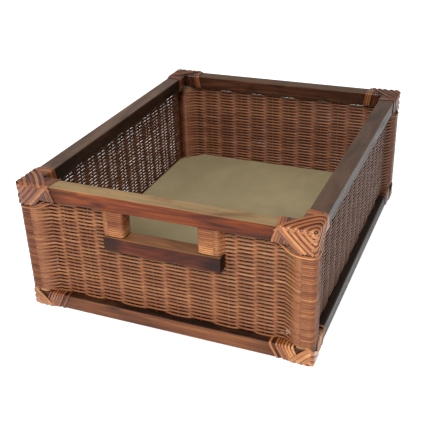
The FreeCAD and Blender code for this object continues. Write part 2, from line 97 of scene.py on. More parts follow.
def make_stage():
    scene = bpy.context.scene
    scene.view_settings.view_transform = "Standard"
    scene.view_settings.look = "None"
    scene.view_settings.exposure = 0.0
    world = bpy.data.worlds.new("world")
    scene.world = world
    world.use_nodes = True
    background = world.node_tree.nodes["Background"]
    background.inputs["Color"].default_value = (1.0, 1.0, 1.0, 1)
    background.inputs["Strength"].default_value = 0.5
    aim = (0, 0, 0.1)
    make_area("key", (0.35, -2.2, 2.2), aim, size=1.2, watts=96, colour=(1.0, 0.98, 0.95))
    make_area("fill", (-1.9, -0.6, 2.4), aim, size=1.6, watts=14, colour=(1.0, 0.99, 0.97))

    mesh = bpy.data.meshes.new("floor")
    reach = 14.0
    mesh.from_pydata([(-reach, -reach, 0), (reach, -reach, 0), (reach, reach, 0), (-reach, reach, 0)],
                     [], [(0, 1, 2, 3)])
    floor = bpy.data.objects.new("floor", mesh)
    scene.collection.objects.link(floor)
    material = bpy.data.materials.new("floor_white")
    material.use_nodes = True
    shader = material.node_tree.nodes["Principled BSDF"]
    shader.inputs["Base Color"].default_value = (0.96, 0.96, 0.96, 1)
    shader.inputs["Roughness"].default_value = 0.9
    shader.inputs["Emission Color"].default_value = (1.0, 1.0, 1.0, 1)
    shader.inputs["Emission Strength"].default_value = 0.5
    shader.inputs["Specular IOR Level"].default_value = 0.2
    mesh.materials.append(material)


# ---------------------------------------------------------------- materials

def linear(red, green, blue):
    """A colour given as 0-255 screen values, as linear light with alpha."""
    def one(value):
        value /= 255
        return value / 12.92 if value <= 0.04045 else ((value + 0.055) / 1.055) ** 2.4
    return (one(red), one(green), one(blue), 1.0)


class Nodes:
    """A material's node tree, with short calls for the nodes used here."""

    def __init__(self, name):
        self.material = bpy.data.materials.new(name)
        self.material.use_nodes = True
        self.tree = self.material.node_tree
        self.shader = self.tree.nodes["Principled BSDF"]

    def link(self, source, socket):
        self.tree.links.new(source, socket)

    def put(self, socket, value):
        if isinstance(value, bpy.types.NodeSocket):
            self.link(value, socket)
        else:
            socket.default_value = value

    def attribute(self, name, output="Fac"):
        node = self.tree.nodes.new("ShaderNodeAttribute")
        node.attribute_name = name
        return node.outputs[output]

    def position(self):
        return self.tree.nodes.new("ShaderNodeTexCoord").outputs["Object"]

    def mapping(self, vector, scale, shift=(0, 0, 0)):
        node = self.tree.nodes.new("ShaderNodeMapping")
        self.link(vector, node.inputs["Vector"])
        node.inputs["Scale"].default_value = scale
        node.inputs["Location"].default_value = shift
        return node.outputs["Vector"]

    def noise(self, vector, scale, detail=3.0, roughness=0.55, distortion=0.0, output="Fac"):
        node = self.tree.nodes.new("ShaderNodeTexNoise")
        self.link(vector, node.inputs["Vector"])
        node.inputs["Scale"].default_value = scale
        node.inputs["Detail"].default_value = detail
        node.inputs["Roughness"].default_value = roughness
        node.inputs["Distortion"].default_value = distortion
        return node.outputs[output]

    def ramp(self, factor, stops):
        node = self.tree.nodes.new("ShaderNodeValToRGB")
        self.link(factor, node.inputs["Fac"])
        elements = node.color_ramp.elements
        while len(elements) < len(stops):
            elements.new(0.5)
        for element, (place, colour) in zip(elements, stops):
            element.position = place
            element.color = colour if len(colour) == 4 else (*colour, 1)
        return node.outputs["Color"]

    def level(self, factor, low, high, start=0.0, end=1.0):
        """start where factor is at low, end where it is at high, smooth between."""
        node = self.tree.nodes.new("ShaderNodeMapRange")
        node.interpolation_type = "SMOOTHSTEP"
        self.link(factor, node.inputs["Value"])
        node.inputs["From Min"].default_value = low
        node.inputs["From Max"].default_value = high
        node.inputs["To Min"].default_value = start
        node.inputs["To Max"].default_value = end
        return node.outputs["Result"]

    def math(self, operation, first, second=0.0):
        node = self.tree.nodes.new("ShaderNodeMath")
        node.operation = operation
        self.put(node.inputs[0], first)
        self.put(node.inputs[1], second)
        return node.outputs[0]

    def mix(self, factor, first, second, blend="MIX"):
        node = self.tree.nodes.new("ShaderNodeMix")
        node.data_type = "RGBA"
        node.blend_type = blend
        self.put(node.inputs[0], factor)
        self.put(node.inputs[6], first)
        self.put(node.inputs[7], second)
        return node.outputs[2]

    def axes(self, vector):
        node = self.tree.nodes.new("ShaderNodeSeparateXYZ")
        self.link(vector, node.inputs[0])
        return node.outputs

    def bump(self, height, depth, strength=1.0):
        node = self.tree.nodes.new("ShaderNodeBump")
        node.inputs["Strength"].default_value = strength
        node.inputs["Distance"].default_value = depth
        self.link(height, node.inputs["Height"])
        self.link(node.outputs["Normal"], self.shader.inputs["Normal"])


def cane_material(name, stops, rough, spots=0.5, coat=0.0, tone_and_shade=(1.0, 1.0, 1.0)):
    """Rattan: lengthwise streaks, blotches along each strand, tone that differs by strand, and painted
    shade on the sides of the strands that lie deep inside the weave.

    stops are the colours from the darkest strands to the lightest, and the last argument multiplies
    them; its factors carry painted shade that differs by wall, corner and upright.
    """
    n = Nodes(name)
    lay = n.attribute("lay", "Vector")
    tone = n.attribute("tone")
    blotch = n.noise(n.mapping(lay, (28, 60, 60)), 1.0, 3.0, 0.6)
    streak = n.noise(n.mapping(lay, (35, 1500, 1500)), 1.0, 2.0, 0.6)
    pores = n.noise(n.mapping(lay, (420, 1700, 1700)), 1.0, 2.0, 0.7)
    mixed = n.math("ADD", n.math("MULTIPLY", tone, 0.55), n.math("MULTIPLY", blotch, 0.45))
    mixed = n.math("ADD", mixed, n.math("MULTIPLY", n.math("SUBTRACT", streak, 0.5), 0.34))
    # Painted shade: the colours are multiplied by a factor that is lower for the walls, corners and
    # uprights that face away from the light.
    shaded_stops = [(place, tuple(c * s for c, s in zip(shade[:3], tone_and_shade))) for place, shade in stops]
    colour = n.ramp(mixed, shaded_stops)
    dark = n.level(n.noise(n.mapping(lay, (55, 90, 90), (3, 1, 7)), 1.0, 4.0, 0.65), 0.56, 0.74)
    spotted = n.mix(1.0, colour, (0.42, 0.30, 0.24, 1), "MULTIPLY")
    colour = n.mix(n.math("MULTIPLY", dark, spots), colour, spotted)
    speck = n.level(pores, 0.60, 0.74)
    colour = n.mix(n.math("MULTIPLY", speck, 0.35), colour, (0.05, 0.018, 0.008, 1))
    # Painted shade: where proud is low, on the sides of the strands that face into the weave, the colour is
    # darkened.
    deep = n.level(n.attribute("proud"), -0.85, -0.05, 1.0, 0.0)
    shaded = n.mix(1.0, colour, (0.10, 0.06, 0.045, 1), "MULTIPLY")
    colour = n.mix(n.math("MULTIPLY", deep, 0.93), colour, shaded)
    n.link(colour, n.shader.inputs["Base Color"])
    n.link(n.level(streak, 0.2, 0.8, rough - 0.09, rough + 0.12), n.shader.inputs["Roughness"])
    n.shader.inputs["Specular IOR Level"].default_value = 0.34
    n.shader.inputs["Coat Weight"].default_value = coat
    n.shader.inputs["Coat Roughness"].default_value = 0.28
    n.bump(n.math("ADD", streak, n.math("MULTIPLY", pores, 0.5)), 0.00022, 0.8)
    return n.material


def wood_material(name, axis, seed, dark, middle, light, ends=0.0, low=None, high=None, rough=0.42,
                  upper=None):
    """Stained wood with its grain along an axis, worn lighter on its edges.

    low and high are the piece's box, and ends is how dark it is towards its two ends. upper is
    the tint of the faces that look up: painted light and sheen where it is lighter than the stain,
    and painted shadow where it is darker.
    """
    n = Nodes(name)
    where = n.position()
    shift = (seed * 1.37, seed * 2.11, seed * 0.73)
    long_way = {"x": 0, "y": 1, "z": 2}[axis]

    def stretched(along, across, extra=0.0):
        scale = [across] * 3
        scale[long_way] = along
        return n.mapping(where, tuple(scale), tuple(s + extra for s in shift))

    bend = n.noise(stretched(5, 26), 1.0, 3.0, 0.5)
    grain = n.noise(stretched(5.5, 95, 2.0), 1.0, 5.0, 0.62, 1.1)
    fine = n.noise(stretched(18, 900, 5.0), 1.0, 3.0, 0.6)
    patch = n.noise(stretched(9, 30, 9.0), 1.0, 3.0, 0.6, 0.6)
    mixed = n.math("ADD", n.math("MULTIPLY", grain, 0.62), n.math("MULTIPLY", bend, 0.38))
    mixed = n.math("ADD", mixed, n.math("MULTIPLY", n.math("SUBTRACT", fine, 0.5), 0.22))
    colour = n.ramp(mixed, [(0.30, dark), (0.50, middle), (0.68, light)])
    colour = n.mix(n.level(patch, 0.48, 0.66, 0.0, 0.85), colour, n.mix(0.25, dark, middle))
    knots = n.tree.nodes.new("ShaderNodeTexVoronoi")
    n.link(stretched(7, 24, 13.0), knots.inputs["Vector"])
    knots.inputs["Scale"].default_value = 1.0
    knot = n.level(knots.outputs["Distance"], 0.05, 0.16, 1.0, 0.0)
    colour = n.mix(n.math("MULTIPLY", knot, 0.8), colour, n.mix(0.5, dark, (0.004, 0.002, 0.002, 1)))
    xyz = n.axes(where)
    if low is not None:
        middle_at = [(a + b) / 2 for a, b in zip(low, high)]
        half = [(b - a) / 2 for a, b in zip(low, high)]
        across = [k for k in range(3) if k != long_way]
        near = [n.math("ABSOLUTE", n.math("DIVIDE", n.math("SUBTRACT", xyz[k], middle_at[k]), half[k]))
                for k in across]
        edge = n.math("MULTIPLY", *near)
        worn = n.math("MULTIPLY", n.level(edge, 0.80, 0.93), n.level(patch, 0.34, 0.55))
        colour = n.mix(n.math("MULTIPLY", worn, 0.5), colour, n.mix(0.5, light, (0.33, 0.21, 0.12, 1)))
        if ends:
            from_middle = n.math("SUBTRACT", xyz[long_way], middle_at[long_way])
            run = n.math("ABSOLUTE", n.math("DIVIDE", from_middle, half[long_way]))
            run = n.math("ADD", run, n.math("MULTIPLY", n.math("SUBTRACT", bend, 0.5), 0.5))
            colour = n.mix(n.math("MULTIPLY", n.level(run, 0.55, 0.85), ends), colour,
                           n.mix(1.0, colour, (0.16, 0.13, 0.16, 1), "MULTIPLY"))
    if upper is not None:
        # Painted light and shade on the faces that look up: the upper tint, lighter on the top and handle
        # rails, dark on the front bottom rail under the weave.
        facing = n.axes(n.tree.nodes.new("ShaderNodeNewGeometry").outputs["Normal"])[2]
        upper_light_and_shade = n.ramp(mixed, [(0.30, tuple(0.62 * c for c in upper[:3])), (0.55, upper[:3]),
                                (0.72, tuple(1.18 * c for c in upper[:3]))])
        shown = n.math("MULTIPLY", n.level(facing, 0.5, 0.9), n.level(patch, 0.40, 0.72, 1.0, 0.45))
        colour = n.mix(shown, colour, upper_light_and_shade)
    n.link(colour, n.shader.inputs["Base Color"])
    n.link(n.level(grain, 0.3, 0.7, rough - 0.08, rough + 0.10), n.shader.inputs["Roughness"])
    n.shader.inputs["Specular IOR Level"].default_value = 0.16
    height = n.math("ADD", n.math("MULTIPLY", grain, 0.7), n.math("MULTIPLY", fine, 0.35))
    n.bump(n.math("SUBTRACT", height, n.math("MULTIPLY", knot, 0.3)), 0.0009, 0.6)
    return n.material


def board_material():
    n = Nodes("fibreboard_tan")
    where = n.position()
    cloud = n.noise(n.mapping(where, (7, 7, 7)), 1.0, 4.0, 0.6, 0.4)
    fleck = n.noise(n.mapping(where, (260, 420, 300)), 1.0, 3.0, 0.7)
    fibre = n.noise(n.mapping(where, (900, 60, 900), (4, 2, 1)), 1.0, 3.0, 0.6)
    mixed = n.math("ADD", n.math("MULTIPLY", cloud, 0.6), n.math("MULTIPLY", fleck, 0.4))
    colour = n.ramp(mixed, [(0.32, linear(122, 109, 80)), (0.52, linear(138, 125, 94)),
                            (0.70, linear(152, 139, 108))])
    colour = n.mix(n.math("MULTIPLY", n.level(fibre, 0.56, 0.72), 0.25), colour, linear(122, 104, 70))
    n.link(colour, n.shader.inputs["Base Color"])
    n.link(n.level(fleck, 0.3, 0.7, 0.55, 0.75), n.shader.inputs["Roughness"])
    n.shader.inputs["Specular IOR Level"].default_value = 0.35
    n.bump(n.math("ADD", fleck, n.math("MULTIPLY", fibre, 0.5)), 0.0003, 0.5)
    return n.material


def steel_material():
    n = Nodes("nail_steel")
    where = n.position()
    spots = n.noise(n.mapping(where, (500, 500, 500)), 1.0, 3.0, 0.6)
    colour = n.ramp(spots, [(0.35, linear(90, 84, 80)), (0.65, linear(168, 162, 155))])
    n.link(colour, n.shader.inputs["Base Color"])
    n.link(n.level(spots, 0.3, 0.7, 0.3, 0.55), n.shader.inputs["Roughness"])
    n.shader.inputs["Metallic"].default_value = 1.0
    n.bump(spots, 0.0001, 0.5)
    return n.material


# ---------------------------------------------------------------- strand meshes

class Strands:
    """Collects tubes and strips, in metres, into one mesh with their lay and tone."""

    def __init__(self, seed):
        self.random = np.random.RandomState(seed)
        self.points, self.quads, self.lay, self.tone, self.proud = [], [], [], [], []
        self.count = 0

    def add(self, path, across, normal, outline, tone, closed=False, proud=1.0):
        """Sweep outline, an (n, 2) array or one such array per point, along path.

        proud is 1 on surfaces that stand out of the weave and -1 deep inside it.
        """
        path = np.asarray(path, float)
        number = len(path)
        outline = np.asarray(outline, float)
        if outline.ndim == 2:
            outline = np.broadcast_to(outline, (number,) + outline.shape)
        sides = outline.shape[1]
        rings = (path[:, None, :] + outline[:, :, :1] * across[:, None, :]
                 + outline[:, :, 1:] * normal[:, None, :])
        steps = np.linalg.norm(np.diff(path, axis=0), axis=1)
        along = np.concatenate([[0], np.cumsum(steps)]) + self.random.rand() * 7
        lay = np.empty((number, sides, 3))
        lay[:, :, 0] = along[:, None]
        lay[:, :, 1:] = outline
        first = self.count
        ring = np.arange(number)[:, None] * sides
        side = np.arange(sides)[None, :]
        last = number if closed else number - 1
        here = (ring + side)[:last]
        right = (ring + (side + 1) % sides)[:last]
        next_ring = (np.roll(ring, -1, axis=0) if closed else ring + sides)[:last]
        quads = np.stack([here, right, next_ring + (side + 1) % sides, next_ring + side], axis=-1)
        quads = quads.reshape(-1, 4)
        if not closed:
            caps = []
            end = (number - 1) * sides
            for k in range(sides // 2 - 1):
                a, b, c, d = k, k + 1, sides - 2 - k, sides - 1 - k
                caps.append((a, d, c, b))
                caps.append((end + a, end + b, end + c, end + d))
            quads = np.concatenate([quads, np.array(caps)])
        self.points.append(rings.reshape(-1, 3))
        self.quads.append(quads + first)
        self.lay.append(lay.reshape(-1, 3))
        self.tone.append(np.full(number * sides, tone))
        self.proud.append(np.broadcast_to(proud, (number, sides)).reshape(-1))
        self.count += number * sides

    def tube(self, path, radius, tone, closed=False, sides=8, upright=(0.0, 0.0, 1.0), flat=1.0,
             swing=None):
        """A strand, round or oval; radius is a number or one number per point.

        flat is the strand's thickness, square to upright, as a share of its height. swing is
        1 where the strand passes outside a stake and -1 where it passes inside one.
        """
        path = np.asarray(path, float)
        if closed:
            ahead = np.roll(path, -1, axis=0) - np.roll(path, 1, axis=0)
        else:
            ahead = np.gradient(path, axis=0)
        ahead /= np.linalg.norm(ahead, axis=1)[:, None]
        up = np.broadcast_to(np.asarray(upright, float), path.shape)
        across = np.cross(up, ahead)
        across /= np.linalg.norm(across, axis=1)[:, None]
        normal = np.cross(ahead, across)
        turn = np.arange(sides) * 2 * math.pi / sides
        circle = np.stack([flat * np.cos(turn), np.sin(turn)], axis=1)
        radius = np.broadcast_to(np.asarray(radius, float), (len(path),))
        proud = 1.0 if swing is None else -np.asarray(swing)[:, None] * np.cos(turn)
        self.add(path, across, normal, radius[:, None, None] * circle, tone, closed, proud)

    def strip(self, path, normal, width, thick, tone, closed=False):
        """A flat split cane, rounded on its upper side."""
        path = np.asarray(path, float)
        if closed:
            ahead = np.roll(path, -1, axis=0) - np.roll(path, 1, axis=0)
        else:
            ahead = np.gradient(path, axis=0)
        ahead /= np.linalg.norm(ahead, axis=1)[:, None]
        normal = normal - ahead * np.sum(normal * ahead, axis=1)[:, None]
        normal /= np.linalg.norm(normal, axis=1)[:, None]
        across = np.cross(normal, ahead)
        turn = np.arange(12) * math.pi / 6
        high = np.where(np.sin(turn) > 0, 0.72, 0.28)
        shape = np.stack([np.sign(np.cos(turn)) * np.abs(np.cos(turn)) ** 0.8 * width / 2,
                          np.sign(np.sin(turn)) * np.abs(np.sin(turn)) ** 0.9 * thick * high], axis=1)
        self.add(path, across, normal, shape, tone, closed)

    def build(self, name, material, replaced):
        points = np.concatenate(self.points)
        quads = np.concatenate(self.quads)
        mesh = bpy.data.meshes.new(name)
        mesh.vertices.add(len(points))
        mesh.vertices.foreach_set("co", points.astype(np.float32).ravel())
        mesh.loops.add(quads.size)
        mesh.loops.foreach_set("vertex_index", quads.astype(np.int32).ravel())
        mesh.polygons.add(len(quads))
        mesh.polygons.foreach_set("loop_start", np.arange(len(quads), dtype=np.int32) * 4)
        mesh.polygons.foreach_set("use_smooth", np.ones(len(quads), dtype=bool))
        mesh.update(calc_edges=True)
        lay = mesh.attributes.new("lay", "FLOAT_VECTOR", "POINT")
        lay.data.foreach_set("vector", np.concatenate(self.lay).astype(np.float32).ravel())
        tone = mesh.attributes.new("tone", "FLOAT", "POINT")
        tone.data.foreach_set("value", np.concatenate(self.tone).astype(np.float32))
        proud = mesh.attributes.new("proud", "FLOAT", "POINT")
        proud.data.foreach_set("value", np.concatenate(self.proud).astype(np.float32))
        mesh.materials.append(material)
        piece = bpy.data.objects.new(name, mesh)
        bpy.context.scene.collection.objects.link(piece)
        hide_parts(*replaced)
        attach(piece, "root")
        return piece


def lattice(x, y, seed):
    """Smooth noise between -1 and 1 at x, y, with about one hill per unit."""
    x, y = np.broadcast_arrays(np.asarray(x, float), np.asarray(y, float))
    cell_x, cell_y = np.floor(x), np.floor(y)
    in_x, in_y = x - cell_x, y - cell_y
    in_x, in_y = in_x * in_x * (3 - 2 * in_x), in_y * in_y * (3 - 2 * in_y)

    def corner(i, j):
        value = np.sin((cell_x + i) * 127.1 + (cell_y + j) * 311.7 + seed * 74.7) * 43758.5453
        return 2 * (value - np.floor(value)) - 1

    low = corner(0, 0) * (1 - in_x) + corner(1, 0) * in_x
    high = corner(0, 1) * (1 - in_x) + corner(1, 1) * in_x
    return low * (1 - in_y) + high * in_y


# ---------------------------------------------------------------- measures from the frame

def centre(node):
    low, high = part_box(node)
    return (low + high) / 2


RAIL_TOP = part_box("bottom_rail_front")[1].z
RAIL_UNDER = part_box("top_rail_front")[0].z
HANDLE_LOW, HANDLE_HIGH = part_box("handle_rail")
WRAP_LOW, WRAP_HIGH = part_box("corner_wrap_front_right")
POST = centre("corner_wrap_front_right")
ROWS = 54
FIRST_ROW = RAIL_TOP + 1.9 * MM
ROW_PITCH = (RAIL_UNDER - 1.5 * MM - FIRST_ROW) / (ROWS - 1)
ROW_HALF = 1.84 * MM                   # half a strand's height
ROW_FLAT = 0.68                        # its thickness over its height
STAKE = 1.45 * MM                      # a stake's radius
# How far the rows swing to either side of the stakes, and how far the rows outside the stakes
# sit above the rows inside them, halved.
SWING = {"front": 1.7 * MM, "right": 1.7 * MM, "back": 1.6 * MM, "left": 1.5 * MM}
STAGGER = {"front": 0.5 * MM, "right": 0.45 * MM, "back": -0.6 * MM, "left": -0.55 * MM}
RING_HALF = (WRAP_HIGH.x - WRAP_LOW.x) / 2 - ROW_FLAT * ROW_HALF
RING_CORNER = 7.9 * MM
ROW_HEIGHTS = FIRST_ROW + ROW_PITCH * np.arange(ROWS)
RINGS = ROW_HEIGHTS[(ROW_HEIGHTS > WRAP_LOW.z) & (ROW_HEIGHTS < WRAP_HIGH.z)]
HOLE_RINGS = ROW_HEIGHTS[ROW_HEIGHTS > HANDLE_HIGH.z + ROW_HALF]


def stake_places(wall):
    """Where a wall's stakes stand along it, from the frame's own stakes."""
    turn = math.radians(WALL_TURNS[wall])
    mesh = NODES[f"stakes_{wall}"].data
    points = np.empty(len(mesh.vertices) * 3, np.float32)
    mesh.vertices.foreach_get("co", points)
    points = points.reshape(-1, 3)
    along = np.sort(points[:, 0] * math.cos(turn) + points[:, 1] * math.sin(turn))
    groups = np.split(along, np.where(np.diff(along) > 6 * MM)[0] + 1)
    return np.array([(group[0] + group[-1]) / 2 for group in groups])


def to_world(wall, along, out, height):
    """A point on a wall: along it, out from its middle line to the outside, and up."""
    turn = math.radians(WALL_TURNS[wall])
    distance = POST.x if wall in ("right", "left") else -POST.y
    x, y = np.asarray(along, float), -(distance + np.asarray(out, float))
    x, y, z = np.broadcast_arrays(x, y, height)
    return np.stack([x * math.cos(turn) - y * math.sin(turn),
                     x * math.sin(turn) + y * math.cos(turn), z], axis=-1)


# ---------------------------------------------------------------- weaving

FIRST_SIDE = {"front": 1, "right": 1, "back": -1, "left": 1}   # +1: rows start outside


def ring_path(centre_xy, half_x, half_y, corner, step):
    """A rounded rectangle about a centre, as evenly spaced points."""
    points = []
    for quarter, (sign_x, sign_y) in enumerate(((1, 1), (-1, 1), (-1, -1), (1, -1))):
        middle = (sign_x * (half_x - corner), sign_y * (half_y - corner))
        for turn in np.linspace(0, math.pi / 2, 7):
            angle = quarter * math.pi / 2 + turn
            points.append((middle[0] + corner * math.cos(angle), middle[1] + corner * math.sin(angle)))
    points = np.array(points + points[:1])
    run = np.concatenate([[0], np.cumsum(np.linalg.norm(np.diff(points, axis=0), axis=1))])
    count = int(round(run[-1] / step))
    at = np.linspace(0, run[-1], count, endpoint=False)
    ring = np.stack([np.interp(at, run, points[:, k]) for k in (0, 1)], axis=1)
    return ring + np.asarray(centre_xy)


def hermite(start, start_way, end, end_way, count):
    """Points on a cubic from start to end, both left out, with the given tangents."""
    t = np.linspace(0, 1, count + 2)[1:-1, None]
    start, end = np.asarray(start, float), np.asarray(end, float)
    start_way, end_way = np.asarray(start_way, float), np.asarray(end_way, float)
    return ((2 * t**3 - 3 * t**2 + 1) * start + (t**3 - 2 * t**2 + t) * start_way
            + (3 * t**2 - 2 * t**3) * end + (t**3 - t**2) * end_way)


def swings(along, stakes, sides):
    """How far out a row is at each place along it, swinging from stake to stake, as -1 to 1."""
    spot = np.clip(np.searchsorted(stakes, along) - 1, 0, len(stakes) - 2)
    share = np.clip((along - stakes[spot]) / (stakes[spot + 1] - stakes[spot]), 0, 1)
    wave = np.cos(math.pi * share)
    ease = (1 - np.sign(wave) * np.abs(wave) ** 0.6) / 2
    return sides[spot] * (1 - ease) + sides[spot + 1] * ease


def row_height(wall, row, along, swing, wall_seed):
    wander = 0.5 * MM * lattice(along / 0.085, row / 9.0, wall_seed)
    own = 0.16 * MM * lattice(along / 0.030, row * 3.3, wall_seed + 5)
    fade = np.clip(min(row, ROWS - 1 - row) / 3.0, 0, 1)
    return ROW_HEIGHTS[row] + fade * (wander + STAGGER[wall] * swing) + own


def post_tail(wall, row, end, last, side, height):
    """The run of a row from its last stake on to the ring round the corner post."""
    face = FIRST_SIDE[wall]
    post_at = POST.x if wall in ("front", "back") else -POST.y
    arc_at = post_at - (RING_HALF - RING_CORNER)
    tangent = math.radians(30)
    touch = (arc_at - RING_CORNER * math.sin(tangent),
             face * (RING_HALF - RING_CORNER + RING_CORNER * math.cos(tangent)))
    length = touch[0] - last
    start_way = (0.8 * length, 0.5 * face * length) if side == face else (length, 0.2 * face * length)
    bend = hermite((last, side * SWING[wall]), start_way, touch,
                   (length * math.cos(tangent), face * length * math.sin(tangent) * 1.2), 8)
    arc = [(arc_at - RING_CORNER * math.sin(turn),
            face * (RING_HALF - RING_CORNER + RING_CORNER * math.cos(turn)))
           for turn in np.linspace(tangent, 0, 4)]
    flat = [(arc_at + 4 * MM, face * RING_HALF)]
    plan = np.concatenate([bend, arc, flat])
    target = min(max(ROW_HEIGHTS[row], RINGS[0]), RINGS[-1])
    share = np.clip((plan[:, 0] - last) / (arc_at - last), 0, 1)
    heights = height + (target - height) * share * share * (3 - 2 * share)
    return end * plan[:, 0], plan[:, 1], heights


def hole_end(row, side, stake, swing, height):
    """How a front row ends beside the handle rail, or on the wound upright above it.

    side is -1 left of the hand hole and +1 right of it; the run goes towards the hole.
    """
    toward = -side
    proud = SWING["front"]
    if height < HANDLE_HIGH.z + ROW_HALF:
        if swing < 0:
            return stake + toward * np.array([2.0, 4.0]) * MM, np.full(2, -proud), np.full(2, height)
        turns = np.linspace(0, math.pi, 9)[1:]
        radius = np.linspace(proud, STAKE + 1.2 * MM, 9)[1:]
        along = np.append(stake + toward * 1.3 * radius * np.sin(turns), stake - toward * 4.5 * MM)
        out = np.append(radius * np.cos(turns), -proud)
        return along, out, np.full(len(along), height)
    wrap_low, wrap_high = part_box("handle_wrap_left" if side < 0 else "handle_wrap_right")
    edge = wrap_low.x if side < 0 else wrap_high.x
    half_y = (wrap_high.y - wrap_low.y) / 2 - ROW_FLAT * ROW_HALF
    arc = 4.9 * MM
    arc_at = edge + toward * (ROW_FLAT * ROW_HALF + arc)
    steps = np.linspace(math.radians(40), 0, 4)
    arc_along = arc_at - toward * arc * np.sin(steps)
    arc_out = half_y - arc + arc * np.cos(steps)
    reach = abs(arc_along[0] - stake)
    bend = hermite((stake, swing * proud), (toward * reach, 0.25 * reach),
                   (arc_along[0], arc_out[0]), (toward * reach * 0.77, reach * 0.64), 5)
    along = np.concatenate([bend[:, 0], arc_along, [arc_at + toward * 4 * MM]])
    out = np.concatenate([bend[:, 1], arc_out, [half_y]])
    share = np.linspace(0, 1, len(along))
    return along, out, height + (ROW_HEIGHTS[row] - height) * share * share * (3 - 2 * share)


def weave_wall(wall, seed, material):
    """One wall's rows of flat-oval cane; neighbouring rows pass the stakes on opposite sides."""
    strands = Strands(seed)
    random = strands.random
    stakes = stake_places(wall)
    stake_signs = FIRST_SIDE[wall] * (-1.0) ** np.arange(len(stakes))
    for row in range(ROWS):
        sides = stake_signs * (-1) ** row
        spans = [(None, None)]
        if wall == "front" and ROW_HEIGHTS[row] > HANDLE_LOW.z - ROW_HALF:
            left = np.where(stakes < HANDLE_LOW.x)[0][-1]
            right = np.where(stakes > HANDLE_HIGH.x)[0][0]
            spans = [(None, left), (right, None)]
        tone = 0.5 + 0.36 * (random.rand() - 0.5)
        if len(spans) == 1 and wall == "front" and ROW_HEIGHTS[row] > HANDLE_LOW.z - 1.5 * ROW_PITCH:
            tone = 0.75                # the last row under the handle rail is a light one
        for first, last in spans:
            low = 0 if first is None else first
            high = len(stakes) - 1 if last is None else last
            count = int((stakes[high] - stakes[low]) / (2.9 * MM))
            along = np.linspace(stakes[low], stakes[high], count)
            swing = swings(along, stakes, sides)
            height = row_height(wall, row, along, swing, seed)
            pieces = [(along, swing * SWING[wall], height)]
            if first is None:
                a, o, h = post_tail(wall, row, -1, -stakes[0], sides[0], height[0])
            else:
                a, o, h = hole_end(row, 1, stakes[low], swing[0], height[0])
            pieces.insert(0, (a[::-1], o[::-1], h[::-1]))
            if last is None:
                pieces.append(post_tail(wall, row, 1, stakes[-1], sides[-1], height[-1]))
            else:
                pieces.append(hole_end(row, -1, stakes[high], swing[-1], height[-1]))
            along, out, height = (np.concatenate([piece[k] for piece in pieces]) for k in range(3))
            at = np.clip(along, stakes[low], stakes[high])
            swing = np.where(at == along, swings(at, stakes, sides), np.clip(out / SWING[wall], -1, 1))
            radius = ROW_HALF * (1 + 0.05 * lattice(along / 0.05, row * 1.9, seed + 11))
            strands.tube(to_world(wall, along, out, height), radius * (0.97 + 0.05 * random.rand()),
                         tone, flat=ROW_FLAT, swing=swing)
    return strands.build(f"weave_{wall}", material, [f"woven_panel_{wall}"])


def wind_corner(corner, seed, material):
    """The cane wound round a corner post, and the thin strand that runs over its top turns."""
    strands = Strands(seed)
    random = strands.random
    sign_x, sign_y = CORNERS[corner]
    middle = np.array([sign_x * POST.x, sign_y * -POST.y])
    plan = ring_path(middle, RING_HALF, RING_HALF, RING_CORNER, 2.6 * MM)
    for height in RINGS:
        run = np.arange(len(plan)) / len(plan)
        wave = 0.3 * MM * (random.rand() - 0.5) * np.sin(2 * math.pi * (run + random.rand()))
        bulge = 1 + 0.014 * (random.rand() - 0.5)
        path = np.column_stack([middle + (plan - middle) * bulge, height + wave])
        radius = 1.58 * MM * (0.95 + 0.08 * random.rand())
        tone = 0.5 + 0.7 * (random.rand() - 0.5)
        strands.tube(path, radius, tone, closed=True, flat=0.75)

    # Distances from the post's middle, along a rail inwards and then outwards, and drops below the
    # top rail. The strand comes down from one rail, goes round the post and rises to the other.
    reach = RING_HALF / MM + 1.5
    leg = [(47, 3.2, 3.6), (40, 5.2, 5.6), (32, 9.2, 9.6), (24, 13.5, 13.1), (16, 16.6, 15.1)]
    guide = [(-a, b, drop) for a, b, drop in leg] + [(-4, reach, 15.9)]
    guide += [(7, reach, 16.1), (12.2, 15.2, 16.1), (15.2, 12.2, 16.1), (reach, 7, 16.1)]
    guide += [(reach, -4, 15.9)] + [(b, -a, drop) for a, b, drop in reversed(leg)]
    guide = np.array(guide) * MM
    spots = np.linspace(0, len(guide) - 1, 70)
    fine = np.stack([np.interp(spots, np.arange(len(guide)), guide[:, k]) for k in range(3)], axis=1)
    soft = fine.copy()
    for _ in range(8):
        soft[1:-1] = (soft[:-2] + 2 * soft[1:-1] + soft[2:]) / 4
    path = np.column_stack([middle[0] + sign_x * soft[:, 0], middle[1] + sign_y * soft[:, 1],
                            RAIL_UNDER - soft[:, 2]])
    strands.tube(path, 1.15 * MM, 1.0)
    return strands.build(f"post_winding_{corner}", material, [f"corner_wrap_{corner}"])


def wind_upright(name, seed, material):
    """The cane wound round an upright beside the hand hole."""
    strands = Strands(seed)
    random = strands.random
    low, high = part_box(f"handle_wrap_{name}")
    middle = ((low.x + high.x) / 2, (low.y + high.y) / 2)
    inset = ROW_FLAT * ROW_HALF
    plan = ring_path(middle, (high.x - low.x) / 2 - inset, (high.y - low.y) / 2 - inset, 4.9 * MM, 2.4 * MM)
    thin_turns = 4                     # the lowest ones, which are lighter too
    for number, height in enumerate(HOLE_RINGS):
        run = np.arange(len(plan)) / len(plan)
        wave = 0.3 * MM * (random.rand() - 0.5) * np.sin(2 * math.pi * (run + random.rand()))
        path = np.column_stack([plan, height + wave])
        thin = number < thin_turns
        radius = (1.42 if thin else 1.6) * MM * (0.97 + 0.05 * random.rand())
        tone = 0.95 if thin else 0.5 + 0.6 * (random.rand() - 0.5)
        strands.tube(path, radius, tone, closed=True, flat=0.75)
    return strands.build(f"upright_winding_{name}", material, [f"handle_wrap_{name}"])


